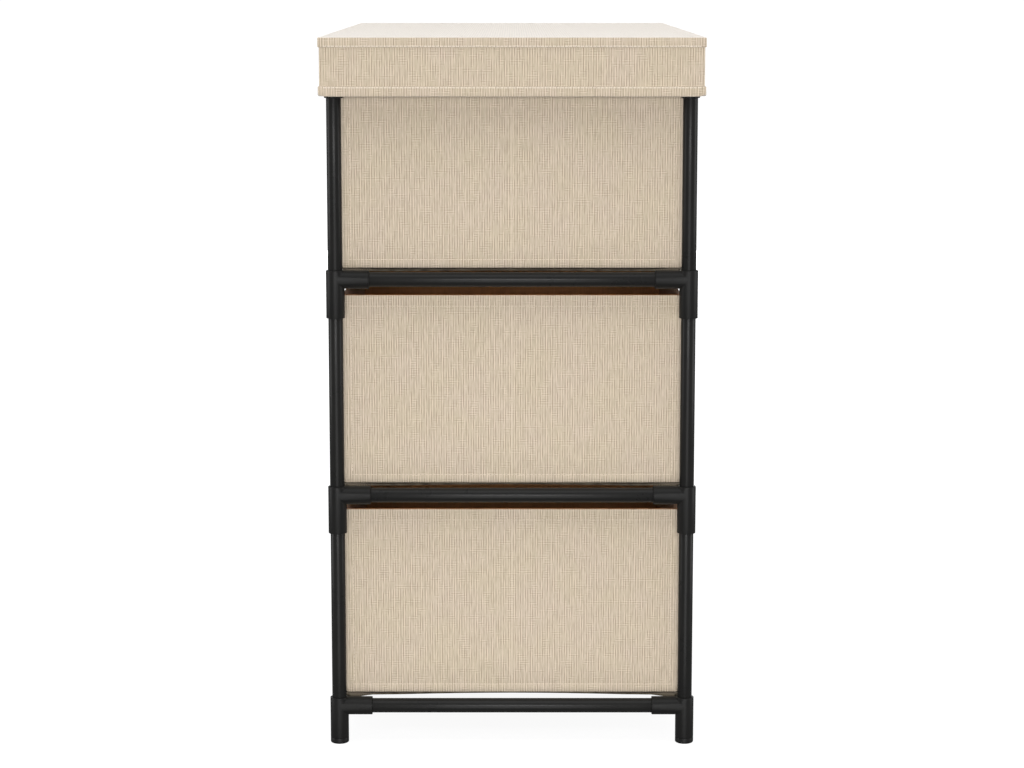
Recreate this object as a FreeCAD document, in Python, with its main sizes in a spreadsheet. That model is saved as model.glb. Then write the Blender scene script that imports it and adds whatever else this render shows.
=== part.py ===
import FreeCAD, Part

import math
import os
from types import SimpleNamespace

import Sketcher
from FreeCAD import Placement, Rotation, Vector

# A cabinet of six cloth drawers: a frame of thin steel tubes pushed into moulded
# connectors, three cloth shelf sheets sewn round the rails, two drawers on each sheet,
# and a board on top under a cloth cover with a skirt.
# Millimetres. The origin is on the floor under the middle, +Z up, the front faces -Y.

# The driving sizes: name on the sheet, value, what it measures.
SIZES = (
    ("bay_width", 264.0, "axis to axis of two neighbouring posts, left to right"),
    ("frame_depth", 268.0, "axis to axis of the front and the back posts"),
    ("tier_pitch", 166.7, "axis to axis of two rails, one above the other"),
    ("rail_height", 29.2, "floor to the axis of the lowest rails"),
    ("tube_dia", 11.2, "outside of every steel tube"),
    ("tube_wall", 0.8, "wall of the steel tube"),
    ("sleeve_dia", 14.2, "outside of the connector sleeves"),
    ("sleeve_reach", 25.6, "post axis to the mouth of a side sleeve"),
    ("leg_reach", 29.5, "rail axis down to the end of a connector's leg"),
    ("socket_gap", 0.1, "between a tube and the flats of its socket"),
    ("socket_web", 2.0, "plastic left between two sockets"),
    ("cut_overrun", 0.4, "how far a cutting tool runs past the face that it opens"),
    ("seat_gap", 0.3, "between a piece and the one that it stands on"),
    ("plug_flange", 4.3, "foot plug below the connector's leg"),
    ("plug_spigot", 12.0, "foot plug inside the connector's leg"),
    ("sheet_thick", 1.4, "shelf sheet, two layers of cloth"),
    ("tunnel_gap", 0.1, "between a rail and the tunnel sewn round it"),
    ("tunnel_seam", 16.0, "rail axis to the seam that closes the tunnel"),
    ("seam_lap", 4.0, "cloth that lies on the sheet beyond that seam"),
    ("sleeve_room", 0.4, "sheet cut back around a connector"),
    ("deck_inset", 4.8, "post axis in to the deck's edge beside the tunnels"),
    ("tab_inset", 4.7, "post axis in to the sheet's corner tab"),
    ("tab_length", 14.5, "rail axis to the end of the corner tab"),
    ("waist_start_inset", 11.4, "post axis in to where the side edge bows"),
    ("waist_start", 25.2, "rail axis to where the side edge bows"),
    ("waist_inset", 18.0, "post axis in to the middle of the side edge"),
    ("slide_gap", 0.3, "between a drawer and the sheet that it slides on"),
    ("drawer_side_gap", 10.65, "post axis to the side of a drawer"),
    ("drawer_setback", 4.5, "post axis back to the front of a drawer"),
    ("rim_drop", 13.5, "drawer's rim to the axis of the rail above"),
    ("skirt_gap", 1.0, "top drawer's rim to the cover's hem"),
    ("drawer_corner", 2.5, "cut corner of a drawer"),
    ("drawer_cloth", 0.8, "outer cloth of a drawer"),
    ("drawer_board", 1.6, "card in the drawer's walls"),
    ("drawer_lining", 0.6, "inner cloth of a drawer"),
    ("side_seam_inset", 6.5, "drawer's corner to the seam beside its wall board"),
    ("top_seam_drop", 8.4, "drawer's rim down to the seam over its wall boards"),
    ("base_seam_rise", 6.5, "drawer's underside up to the seam under them"),
    ("base_board", 2.0, "loose card on the drawer's floor"),
    ("base_gap", 1.0, "between the loose card and the lining"),
    ("pull_length", 120.0, "cloth pull strap, from end to end"),
    ("pull_width", 24.0, "pull strap, top to bottom"),
    ("pull_thick", 2.0, "pull strap, folded cloth"),
    ("pull_tab", 16.0, "flat end of the strap, sewn to the drawer"),
    ("pull_stand", 14.0, "drawer's front to the outside of the bowed strap"),
    ("pull_drop", 60.0, "drawer's rim to the middle of the strap"),
    ("board_thick", 7.1, "board under the cover"),
    ("board_gap", 0.3, "between the board's edge and the skirt"),
    ("cover_cloth", 1.2, "cloth over the board"),
    ("skirt_thick", 2.4, "stiffened skirt of the cover"),
    ("skirt_room", 0.5, "between the skirt and the connectors"),
    ("skirt_drop", 43.8, "top of the cover to the lower edge of its skirt"),
    ("cover_corner", 1.5, "cut corner of the cover"),
    ("hem_thick", 1.0, "edge bands stand this far out of the skirt"),
    ("top_band", 7.3, "height of the band along the cover's top edge"),
    ("skirt_hem", 7.5, "height of the hem along the skirt's lower edge"),
)

# Tubes and sleeves repeat some seventy times, so each is drawn with few flats in place
# of a true round: its corners lie on the real diameter.
ROUND_FLAT_COUNT = 12
SOCKET_FLAT_COUNT = 6
TURN = 360.0

# A corner cut by c on an outer outline is cut by less on an inner one, this share of the
# wall between them less.
MITRE_SHARE = 2.0 - math.sqrt(2.0)

# The sheet's tunnel runs in this many flats from the top of the rail round its outside,
# and the bow of a pull strap in this many from one sewn end to the other.
TUNNEL_STEPS = 7
BOW_STEPS = 8

COLUMNS = (("left", -1), ("right", 1))
ROWS = ("bottom", "middle", "top")
ENDS = (("front", -1), ("back", 1))


class Size:
    """A length that is a number and also its formula on the sheet."""

    def __init__(self, value, formula):
        self.value = value
        self.formula = formula

    def __add__(self, other):
        other = as_size(other)
        return Size(self.value + other.value, f"({self.formula} + {other.formula})")

    def __sub__(self, other):
        other = as_size(other)
        return Size(self.value - other.value, f"({self.formula} - {other.formula})")

    def __mul__(self, other):
        other = as_size(other)
        return Size(self.value * other.value, f"({self.formula} * {other.formula})")

    def __truediv__(self, other):
        other = as_size(other)
        return Size(self.value / other.value, f"({self.formula} / {other.formula})")

    def __neg__(self):
        return self * -1


def as_size(number):
    """A Size as it is, and a bare number, such as a share, as a Size."""
    if isinstance(number, Size):
        return number
    plain = round(float(number), 9)
    return Size(plain, f"{plain:.9f}")


doc = FreeCAD.newDocument("drawer_cabinet")
sheet = doc.addObject("Spreadsheet::Sheet", "Sizes")
for row, (alias, value, meaning) in enumerate(SIZES, start=1):
    sheet.set(f"A{row}", alias)
    sheet.set(f"B{row}", str(value))
    sheet.setAlias(f"B{row}", alias)
    sheet.set(f"C{row}", meaning)
doc.recompute()

size = SimpleNamespace(**{alias: Size(value, f"Sizes.{alias}") for alias, value, _ in SIZES})
ZERO = as_size(0)

# Sizes that follow from the driving ones
tube_radius = size.tube_dia / 2
sleeve_radius = size.sleeve_dia / 2
post_y = size.frame_depth / 2
levels = [size.rail_height + size.tier_pitch * step for step in range(len(ROWS) + 1)]
socket_apothem = tube_radius + size.socket_gap
socket_radius = socket_apothem / math.cos(math.pi / SOCKET_FLAT_COUNT)
side_floor = socket_radius + size.socket_web
upper_floor = side_floor - size.socket_web / 2
lower_floor = side_floor + size.socket_web / 2
cover_top = levels[-1] + sleeve_radius + size.seat_gap + size.board_thick + size.cover_cloth
skirt_base = cover_top - size.skirt_drop
skirt_half_x = size.bay_width + sleeve_radius + size.skirt_room + size.skirt_thick
skirt_half_y = post_y + sleeve_radius + size.skirt_room + size.skirt_thick
drawer_width = size.bay_width - size.drawer_side_gap * 2
drawer_depth = (post_y - size.drawer_setback) * 2

subparts = []


def bind(thing, property_name, length):
    thing.setExpression(property_name, as_size(length).formula)


def place(thing, x=ZERO, y=ZERO, z=ZERO, rotation=Rotation()):
    """Puts an object at sizes from the sheet, turned as asked."""
    thing.Placement = Placement(Vector(x.value, y.value, z.value), rotation)
    bind(thing, "Placement.Base.x", x)
    bind(thing, "Placement.Base.y", y)
    bind(thing, "Placement.Base.z", z)


def finish(thing, label):
    """Names a sub-part and lists it for the end."""
    thing.Label = label
    subparts.append(thing)
    return thing


# Part primitives

TO_X = Rotation(Vector(0, 1, 0), 90)
TO_Y = Rotation(Vector(1, 0, 0), -90)
TO_Z = Rotation()


def stick(name, flats, radius, start, length, rotation=TO_Z):
    """A straight prism from start along the axis that the rotation gives."""
    prism = doc.addObject("Part::Prism", name)
    prism.Polygon = flats
    bind(prism, "Circumradius", radius)
    bind(prism, "Height", length)
    if rotation is TO_X:
        place(prism, x=start, rotation=rotation)
    elif rotation is TO_Y:
        place(prism, y=start, rotation=rotation)
    else:
        place(prism, z=start, rotation=rotation)
    return prism


def card(name, length_x, length_y, length_z, x, y, z):
    """A flat board centred on x and y, standing on z."""
    board = doc.addObject("Part::Box", name)
    bind(board, "Length", length_x)
    bind(board, "Width", length_y)
    bind(board, "Height", length_z)
    place(board, x - length_x / 2, y - length_y / 2, z)
    return board


def fused(name, shapes):
    join = doc.addObject("Part::MultiFuse", name)
    join.Shapes = shapes
    return join


def cut(name, base, tool):
    result = doc.addObject("Part::Cut", name)
    result.Base = base
    result.Tool = tool
    return result


def copy_of(template, name, x, y, z, turn=0):
    """Another piece from the same mould, turned about its own upright axis."""
    copy = doc.addObject("App::Link", name)
    copy.LinkedObject = template
    place(copy, x, y, z, Rotation(Vector(0, 0, 1), turn))
    return copy


def group(label, pieces):
    """A node of like pieces that stay separate solids."""
    compound = doc.addObject("Part::Compound", label)
    compound.Links = pieces
    return finish(compound, label)


# Sketches in a body

def new_sketch(body, name, plane_role, offset=ZERO):
    sketch = body.newObject("Sketcher::SketchObject", name)
    plane = next(f for f in body.Origin.OriginFeatures if f.Role == plane_role)
    sketch.AttachmentSupport = [(plane, "")]
    sketch.MapMode = "FlatFace"
    bind(sketch, "AttachmentOffset.Base.z", offset)
    return sketch


def pin(sketch, curve, end, x, y):
    """Holds one end of a curve at sizes from the sheet."""
    for kind, length in (("DistanceX", x), ("DistanceY", y)):
        rule = sketch.addConstraint(
            Sketcher.Constraint(kind, -1, 1, curve, end, length.value))
        sketch.setExpression(f"Constraints[{rule}]", length.formula)


def outline(sketch, points, arcs=None):
    """A closed outline. arcs gives, for the side after a point, its radius and crown."""
    arcs = arcs or {}
    starts, ends = [], []
    for side, (x, y) in enumerate(points):
        next_x, next_y = points[(side + 1) % len(points)]
        start = Vector(x.value, y.value, 0)
        end = Vector(next_x.value, next_y.value, 0)
        if side not in arcs:
            curve = sketch.addGeometry(Part.LineSegment(start, end))
            starts.append((curve, 1))
            ends.append((curve, 2))
            continue
        radius, crown_x, crown_y = arcs[side]
        crown = Vector(crown_x.value, crown_y.value, 0)
        curve = sketch.addGeometry(Part.Arc(start, crown, end))
        first = sketch.getPoint(curve, 1)
        forwards = first.distanceToPoint(start) < first.distanceToPoint(end)
        starts.append((curve, 1 if forwards else 2))
        ends.append((curve, 2 if forwards else 1))
        rule = sketch.addConstraint(Sketcher.Constraint("Radius", curve, radius.value))
        sketch.setExpression(f"Constraints[{rule}]", radius.formula)
    for side, (x, y) in enumerate(points):
        curve, end = starts[side]
        pin(sketch, curve, end, x, y)
        last_curve, last_end = ends[side - 1]
        sketch.addConstraint(Sketcher.Constraint("Coincident", last_curve, last_end, curve, end))


def trimmed_corners(half_x, half_y, corner):
    """The eight points of a rectangle whose corners are cut."""
    return [
        (half_x - corner, -half_y), (half_x, corner - half_y),
        (half_x, half_y - corner), (half_x - corner, half_y),
        (corner - half_x, half_y), (-half_x, half_y - corner),
        (-half_x, corner - half_y), (corner - half_x, -half_y),
    ]


def inner_corner(corner, wall):
    return corner - wall * MITRE_SHARE


def pad(body, sketch, length, midplane=False):
    feature = body.newObject("PartDesign::Pad", sketch.Name + "_pad")
    feature.Profile = sketch
    feature.Midplane = midplane
    bind(feature, "Length", length)
    return feature


def pocket(body, sketch, length, upwards=False):
    feature = body.newObject("PartDesign::Pocket", sketch.Name + "_cut")
    feature.Profile = sketch
    feature.Reversed = upwards
    bind(feature, "Length", length)
    return feature


# Connector: one moulding with a short body, a leg below it and side sleeves. Each sleeve
# is a socket with six flats that grip the tube, closed by a web before the next socket.

def connector(name, arms, leg):
    """arms lists the rotation of each side sleeve and whether it points backwards."""
    body_height = leg + sleeve_radius
    sleeves = [stick(name + "_leg", ROUND_FLAT_COUNT, sleeve_radius, -leg, body_height)]
    depth = size.sleeve_reach - side_floor
    sockets = [
        stick(name + "_upper", SOCKET_FLAT_COUNT, socket_radius, -upper_floor,
              upper_floor + sleeve_radius + size.cut_overrun),
        stick(name + "_lower", SOCKET_FLAT_COUNT, socket_radius, -leg - size.cut_overrun,
              leg - lower_floor + size.cut_overrun),
    ]
    for number, (rotation, backwards) in enumerate(arms):
        arm_start = -size.sleeve_reach if backwards else ZERO
        hole_start = -size.sleeve_reach - size.cut_overrun if backwards else side_floor
        sleeves.append(stick(f"{name}_sleeve_{number}", ROUND_FLAT_COUNT, sleeve_radius,
                             arm_start, size.sleeve_reach, rotation))
        sockets.append(stick(f"{name}_socket_{number}", SOCKET_FLAT_COUNT, socket_radius,
                             hole_start, depth + size.cut_overrun, rotation))
    moulding = fused(name + "_sleeves", sleeves)
    moulding.Refine = True
    return cut(name, moulding, fused(name + "_sockets", sockets))


CORNER_ARMS = ((TO_X, False), (TO_Y, False))
MIDDLE_ARMS = ((TO_X, False), (TO_X, True), (TO_Y, False))
foot_leg = size.rail_height - size.plug_flange
corner_connector = connector("corner_connector", CORNER_ARMS, size.leg_reach)
middle_connector = connector("middle_connector", MIDDLE_ARMS, size.leg_reach)
corner_foot = connector("corner_foot", CORNER_ARMS, foot_leg)
middle_foot = connector("middle_foot", MIDDLE_ARMS, foot_leg)

# A corner connector points +X and +Y as it is made, so each corner has its own turn.
CORNER_TURNS = {(-1, -1): 0, (1, -1): 90, (1, 1): 180, (-1, 1): 270}
MIDDLE_TURNS = {-1: 0, 1: 180}


def connectors(level):
    height = levels[level]
    corner = corner_foot if level == 0 else corner_connector
    middle = middle_foot if level == 0 else middle_connector
    group(f"corner_connectors_{level + 1}", [
        copy_of(corner, f"corner_{level}_{turn}", size.bay_width * side, post_y * end,
                height, turn)
        for (side, end), turn in CORNER_TURNS.items()])
    group(f"middle_connectors_{level + 1}", [
        copy_of(middle, f"middle_{level}_{turn}", ZERO, post_y * end, height, turn)
        for end, turn in MIDDLE_TURNS.items()])


# Tubes: thin steel, cut square, each end pushed to the web of its socket.

def tube(name, length, rotation=TO_Z):
    outside = stick(name + "_outside", ROUND_FLAT_COUNT, tube_radius, ZERO, length, rotation)
    bore = stick(name + "_bore", ROUND_FLAT_COUNT, tube_radius - size.tube_wall, ZERO, length,
                 rotation)
    return cut(name, outside, bore)


rail_end = side_floor + size.seat_gap
post_foot = size.seat_gap - upper_floor
post_tube = tube("post_tube",
                 size.tier_pitch - lower_floor + upper_floor - size.seat_gap * 2)
long_rail = tube("long_rail", size.bay_width - rail_end * 2, TO_X)
cross_rail = tube("cross_rail", size.frame_depth - rail_end * 2, TO_Y)


def posts(tier, row_name):
    group(f"posts_{row_name}_tier", [
        copy_of(post_tube, f"post_{row_name}_{end_name}_{side}", size.bay_width * side,
                post_y * end, levels[tier] + post_foot)
        for end_name, end in ENDS for side in (-1, 0, 1)])


def rails(level):
    group(f"long_rails_{level + 1}", [
        copy_of(long_rail, f"rail_{end_name}_{level}_{start}",
                size.bay_width * start + rail_end, post_y * end, levels[level])
        for end_name, end in ENDS for start in (-1, 0)])
    group(f"cross_rails_{level + 1}", [
        copy_of(cross_rail, f"cross_{level}_{side}", size.bay_width * side,
                rail_end - post_y, levels[level])
        for side in (-1, 0, 1)])


# Foot plug: closes the lowest leg and stands on the floor.

plug = fused("foot_plug", [
    stick("plug_flange_disc", ROUND_FLAT_COUNT, sleeve_radius, ZERO, size.plug_flange),
    stick("plug_spigot_stem", SOCKET_FLAT_COUNT, socket_radius - size.socket_gap, ZERO,
          size.plug_flange + size.plug_spigot)])
plug.Refine = True
group("foot_plugs", [
    copy_of(plug, f"corner_plug_{turn}", size.bay_width * side, post_y * end, ZERO, turn)
    for (side, end), turn in CORNER_TURNS.items()] + [
    copy_of(plug, f"middle_plug_{turn}", ZERO, post_y * end, ZERO, turn)
    for end, turn in MIDDLE_TURNS.items()])


# Shelf sheet: doubled cloth stretched from the front rail to the back rail, turned round
# both and sewn to itself as a tunnel. It is cut back round the posts and connectors, and
# its free side edges bow in.

sheet_under = tube_radius + size.tunnel_gap
sheet_top = sheet_under + size.sheet_thick


def tunnel_outline(end, radius, seam):
    """The teardrop of a tunnel, seen from the side: round the rail and up to the deck."""
    points = [(post_y * end - seam * end, radius)]
    for step in range(TUNNEL_STEPS + 1):
        angle = math.radians(90 + step * TURN / ROUND_FLAT_COUNT)
        points.append((post_y * end - radius * (math.cos(angle) * end),
                       radius * math.sin(angle)))
    return points


def sheet_edge():
    """The deck's outline seen from above, one quarter mirrored to four."""
    notch = sleeve_radius + size.sleeve_room
    slot_end = post_y - size.sleeve_reach - size.sleeve_room
    deck_end = post_y - size.deck_inset
    tab_x = size.bay_width - size.tab_inset
    corner_x = size.bay_width - notch
    corner_y = post_y - notch
    quarter = [
        (notch, slot_end), (notch, deck_end), (corner_x, deck_end), (corner_x, corner_y),
        (tab_x, corner_y), (tab_x, post_y - size.tab_length),
        (size.bay_width - size.waist_start_inset, post_y - size.waist_start),
    ]
    right = quarter + [(x, -y) for x, y in reversed(quarter)]
    left = [(-x, y) for x, y in reversed(right)]
    chord = (post_y - size.waist_start) * 2
    bow = size.waist_inset - size.waist_start_inset
    radius = (chord * chord / 4 + bow * bow) / (bow * 2)
    waist_x = size.bay_width - size.waist_inset
    first = len(quarter) - 1
    return right + left, {
        first: (radius, waist_x, ZERO),
        len(right) + first: (radius, -waist_x, ZERO),
    }


def shelf_sheet(level):
    body = doc.addObject("PartDesign::Body", f"shelf_sheet_{level + 1}")
    deck = new_sketch(body, f"deck_{level}", "XY_Plane", sheet_under)
    outline(deck, *sheet_edge())
    pad(body, deck, size.sheet_thick)
    tunnel_start = size.sleeve_reach + size.sleeve_room
    tunnels = new_sketch(body, f"tunnels_{level}", "YZ_Plane", tunnel_start)
    for _, end in ENDS:
        outline(tunnels, tunnel_outline(end, sheet_top, size.tunnel_seam + size.seam_lap))
        outline(tunnels, tunnel_outline(end, sheet_under, size.tunnel_seam))
    half = pad(body, tunnels, size.bay_width - tunnel_start * 2)
    mirrored = body.newObject("PartDesign::Mirrored", f"tunnels_mirrored_{level}")
    mirrored.Originals = [half]
    plane = next(f for f in body.Origin.OriginFeatures if f.Role == "YZ_Plane")
    mirrored.MirrorPlane = (plane, [""])
    body.Tip = mirrored
    place(body, z=levels[level])
    finish(body, f"shelf_sheet_{level + 1}")


# Drawer: an outer cloth box and a lining, sewn together at the rim with a card in each
# wall between them, a loose card on the floor and a bowed strap to pull it by.

def cloth_box(body, name, half_x, half_y, corner, base, rim):
    """A block of cloth with cut corners, from base up to rim."""
    block = new_sketch(body, name, "XY_Plane", base)
    outline(block, trimmed_corners(half_x, half_y, corner))
    return pad(body, block, rim - base)


def hollow(body, name, half_x, half_y, corner, floor, rim):
    inside = new_sketch(body, name, "XY_Plane", rim)
    outline(inside, trimmed_corners(half_x, half_y, corner))
    return pocket(body, inside, rim - floor)


def drawer(row, row_name, column_name, column):
    label = f"drawer_{row_name}_{column_name}"
    half_x = drawer_width / 2
    half_y = drawer_depth / 2
    base = levels[row] + sleeve_radius + size.slide_gap
    is_top = row == len(ROWS) - 1
    rim = skirt_base - size.skirt_gap if is_top else levels[row + 1] - size.rim_drop
    height = rim - base
    middle = size.bay_width * column / 2
    corner = size.drawer_corner
    board_face = size.drawer_cloth + size.drawer_board
    wall = board_face + size.drawer_lining

    cloth = doc.addObject("PartDesign::Body", label + "_cloth")
    cloth_box(cloth, label + "_cloth_block", half_x, half_y, corner, ZERO, height)
    hollow(cloth, label + "_cloth_hollow", half_x - size.drawer_cloth,
           half_y - size.drawer_cloth, inner_corner(corner, size.drawer_cloth),
           size.drawer_cloth, height)

    lining = doc.addObject("PartDesign::Body", label + "_lining")
    cloth_box(lining, label + "_lining_block", half_x - board_face, half_y - board_face,
              inner_corner(corner, board_face), size.drawer_cloth, height)
    cloth_box(lining, label + "_lining_rim", half_x - size.drawer_cloth,
              half_y - size.drawer_cloth, inner_corner(corner, size.drawer_cloth),
              height - size.drawer_lining, height)
    hollow(lining, label + "_lining_hollow", half_x - wall, half_y - wall,
           inner_corner(corner, wall), size.drawer_cloth + size.drawer_lining, height)

    for body, ending in ((cloth, "_cloth"), (lining, "_lining")):
        place(body, middle, ZERO, base)
        finish(body, label + ending)

    board_height = height - size.top_seam_drop - size.base_seam_rise
    board_base = base + size.base_seam_rise
    board_centre = size.drawer_cloth + size.drawer_board / 2
    boards = []
    for turn in (-1, 1):
        boards.append(card(f"{label}_side_board_{turn}", size.drawer_board,
                           drawer_depth - size.side_seam_inset * 2, board_height,
                           middle + (half_x - board_centre) * turn, ZERO, board_base))
        boards.append(card(f"{label}_end_board_{turn}",
                           drawer_width - size.side_seam_inset * 2, size.drawer_board,
                           board_height, middle, (half_y - board_centre) * turn, board_base))
    group(label + "_wall_boards", boards)

    slack = (wall + size.base_gap) * 2
    finish(card(label + "_base_board", drawer_width - slack, drawer_depth - slack,
                size.base_board, middle, ZERO,
                base + size.drawer_cloth + size.drawer_lining), label + "_base_board")
    pull_strap(label, middle, rim - size.pull_drop)


def pull_strap(label, x, z):
    """The strap's outline seen from above: two sewn ends and the bow between them."""
    end = size.pull_length / 2
    bow_end = end - size.pull_tab
    crown = size.pull_stand - size.pull_thick
    bow_shares = [step * 2 / BOW_STEPS - 1 for step in range(BOW_STEPS + 1)]
    bow = [(bow_end * share, crown * (share * share - 1)) for share in bow_shares]
    outside = [(bow_x, bow_y - size.pull_thick) for bow_x, bow_y in bow]
    points = [(-end, ZERO), (-end, -size.pull_thick)] + outside
    points += [(end, -size.pull_thick), (end, ZERO)] + bow[::-1]
    body = doc.addObject("PartDesign::Body", label + "_pull")
    strap = new_sketch(body, label + "_pull_outline", "XY_Plane")
    outline(strap, points)
    pad(body, strap, size.pull_width, midplane=True)
    place(body, x, -drawer_depth / 2, z)
    finish(body, label + "_pull")


# Cover: a board on the top connectors, a cloth over it with a stiffened skirt, a band
# sewn along the top edge and a hem along the lower edge.

def cover():
    board_half_x = skirt_half_x - size.skirt_thick - size.board_gap
    board_half_y = skirt_half_y - size.skirt_thick - size.board_gap
    finish(card("cover_board", board_half_x * 2, board_half_y * 2, size.board_thick,
                ZERO, ZERO, levels[-1] + sleeve_radius + size.seat_gap), "cover_board")

    cloth = doc.addObject("PartDesign::Body", "cover_cloth_body")
    cloth_box(cloth, "cover_block", skirt_half_x, skirt_half_y, size.cover_corner, ZERO,
              size.skirt_drop)
    inside = new_sketch(cloth, "cover_inside", "XY_Plane")
    outline(inside, trimmed_corners(
        skirt_half_x - size.skirt_thick, skirt_half_y - size.skirt_thick,
        inner_corner(size.cover_corner, size.skirt_thick)))
    pocket(cloth, inside, size.skirt_drop - size.cover_cloth, upwards=True)
    place(cloth, z=skirt_base)
    finish(cloth, "cover_cloth")

    edge_band("cover_top_band", cover_top - size.top_band, size.top_band)
    edge_band("cover_skirt_hem", skirt_base, size.skirt_hem)


def edge_band(label, base, height):
    body = doc.addObject("PartDesign::Body", label + "_body")
    cloth_box(body, label + "_block", skirt_half_x + size.hem_thick,
              skirt_half_y + size.hem_thick,
              size.cover_corner + size.hem_thick * MITRE_SHARE, ZERO, height)
    hollow(body, label + "_hollow", skirt_half_x, skirt_half_y, size.cover_corner, ZERO,
           height)
    place(body, z=base)
    finish(body, label)


for level in range(len(levels)):
    connectors(level)
    rails(level)
for row, row_name in enumerate(ROWS):
    posts(row, row_name)
    shelf_sheet(row)
    for column_name, column in COLUMNS:
        drawer(row, row_name, column_name, column)
cover()
doc.recompute()

# Every object has to be sound before anything is written.
broken = [thing.Name for thing in doc.Objects
          if "Invalid" in thing.State or "Error" in thing.State]
broken += [thing.Label for thing in subparts
           if thing.Shape.isNull() or not thing.Shape.isValid()]
if broken:
    raise RuntimeError("these objects failed: " + ", ".join(broken))

os.makedirs("parts", exist_ok=True)
for thing in subparts:
    thing.Shape.exportStep(os.path.join("parts", thing.Label + ".step"))
    print(f"{thing.Label}: {len(thing.Shape.Solids)} solids, "
          f"{thing.Shape.Volume / 1000:.2f} cm3")
print(len(subparts), "sub-parts")
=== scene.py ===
import math
import bmesh
import bpy
from mathutils import Matrix, Vector, noise


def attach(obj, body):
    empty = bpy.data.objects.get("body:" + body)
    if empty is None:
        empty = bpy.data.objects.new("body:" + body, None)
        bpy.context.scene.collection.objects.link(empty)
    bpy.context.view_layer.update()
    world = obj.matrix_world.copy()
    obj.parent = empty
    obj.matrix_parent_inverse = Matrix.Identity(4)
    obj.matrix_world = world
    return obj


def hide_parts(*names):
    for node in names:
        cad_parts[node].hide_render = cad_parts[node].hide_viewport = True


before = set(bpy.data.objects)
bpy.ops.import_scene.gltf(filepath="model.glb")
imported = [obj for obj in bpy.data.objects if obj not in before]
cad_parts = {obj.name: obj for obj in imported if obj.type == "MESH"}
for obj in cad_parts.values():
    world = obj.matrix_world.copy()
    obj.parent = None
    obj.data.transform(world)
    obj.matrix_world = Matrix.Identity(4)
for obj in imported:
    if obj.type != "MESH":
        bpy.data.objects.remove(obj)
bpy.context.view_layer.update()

bpy.ops.object.select_all(action="DESELECT")


# Foot plugs. Six moulded plastic caps that close the hollow lower legs and stand on the floor.
# Each is a flange as wide as the leg, its lower rim rounded, and a spigot pushed up into the leg.

mm = 0.001
columns = {"left": -264 * mm, "middle": 0, "right": 264 * mm}
sides = {"front": -134 * mm, "back": 134 * mm}
sleeve_radius = 7.1 * mm
plug_flange = 4.3 * mm
plug_spigot = 12 * mm
spigot_radius = 5.6 * mm
plug_floor_round, plug_edge_round, spigot_tip_round = 1.1 * mm, 0.3 * mm, 0.8 * mm
round_sides = 48


def open_for_shaping(name):
    """Name the primitive just added, put its place into its mesh and go into edit mode."""
    piece = bpy.context.object
    piece.name = piece.data.name = name
    bpy.ops.object.transform_apply(location=True, rotation=True, scale=True)
    bpy.ops.object.mode_set(mode="EDIT")
    return piece


def choose(kind, wanted):
    """Select the faces, edges or verts of the open piece that the test picks, and no others."""
    bpy.context.tool_settings.mesh_select_mode = [kind == k for k in ("verts", "edges", "faces")]
    mesh = bmesh.from_edit_mesh(bpy.context.edit_object.data)
    for part in list(mesh.verts) + list(mesh.edges) + list(mesh.faces):
        part.select = False
    for part in getattr(mesh, kind):
        if wanted(part):
            part.select_set(True)
    bmesh.update_edit_mesh(bpy.context.edit_object.data)


def at(part, axis, place, reach=0.01 * mm):
    """Whether every point of an edge or face lies at this place along the axis."""
    return all(abs(point.co[axis] - place) < reach for point in part.verts)


def pull_out(x=0.0, y=0.0, z=0.0):
    """Extrude what is selected, this far."""
    bpy.ops.mesh.extrude_region_move(TRANSFORM_OT_translate={"value": (x, y, z)})


def pick(piece):
    """Select this one piece and no other."""
    bpy.ops.object.select_all(action="DESELECT")
    piece.select_set(True)
    bpy.context.view_layer.objects.active = piece


def close_shape(piece, smooth_below=35):
    """Leave edit mode with smooth faces that keep every edge sharper than the angle."""
    bpy.ops.object.mode_set(mode="OBJECT")
    pick(piece)
    bpy.ops.object.shade_smooth_by_angle(angle=math.radians(smooth_below))
    piece.select_set(False)
    return piece


def copy_of(model, name, place=(0, 0, 0), turn=0):
    """A copy of a finished model with a mesh of its own, turned about the upright and set down."""
    piece = model.copy()
    piece.data = model.data.copy()
    piece.name = piece.data.name = name
    piece.data.transform(Matrix.Translation(place) @ Matrix.Rotation(math.radians(turn), 4, "Z"))
    bpy.context.collection.objects.link(piece)
    return piece


def new_finish(name):
    """An empty finish and the shader that its colour, gloss and relief go to."""
    finish = bpy.data.materials.new(name)
    finish.use_nodes = True
    return finish, finish.node_tree.nodes["Principled BSDF"]


def wire(finish, kind, inputs, **settings):
    """Add a node to a finish. Each input is given a number, a colour or another node's output."""
    node = finish.node_tree.nodes.new("ShaderNode" + kind)
    for name, value in settings.items():
        setattr(node, name, value)
    for name, value in inputs.items():
        if isinstance(value, bpy.types.NodeSocket):
            finish.node_tree.links.new(value, node.inputs[name])
        else:
            node.inputs[name].default_value = value
    return node


def blend(finish, share, first, second, how="MIX"):
    """Mix two colours, the second one by its share."""
    node = wire(finish, "Mix", {0: share, 6: first, 7: second}, data_type="RGBA", blend_type=how)
    return node.outputs[2]


def between(finish, value, low, high, new_low=0.0, new_high=1.0):
    """Spread a value that runs from low to high over a new range."""
    ranges = {0: value, 1: low, 2: high, 3: new_low, 4: new_high}
    return wire(finish, "MapRange", ranges).outputs[0]


def grey(value):
    """A grey as a colour."""
    return (value, value, value, 1)


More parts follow.
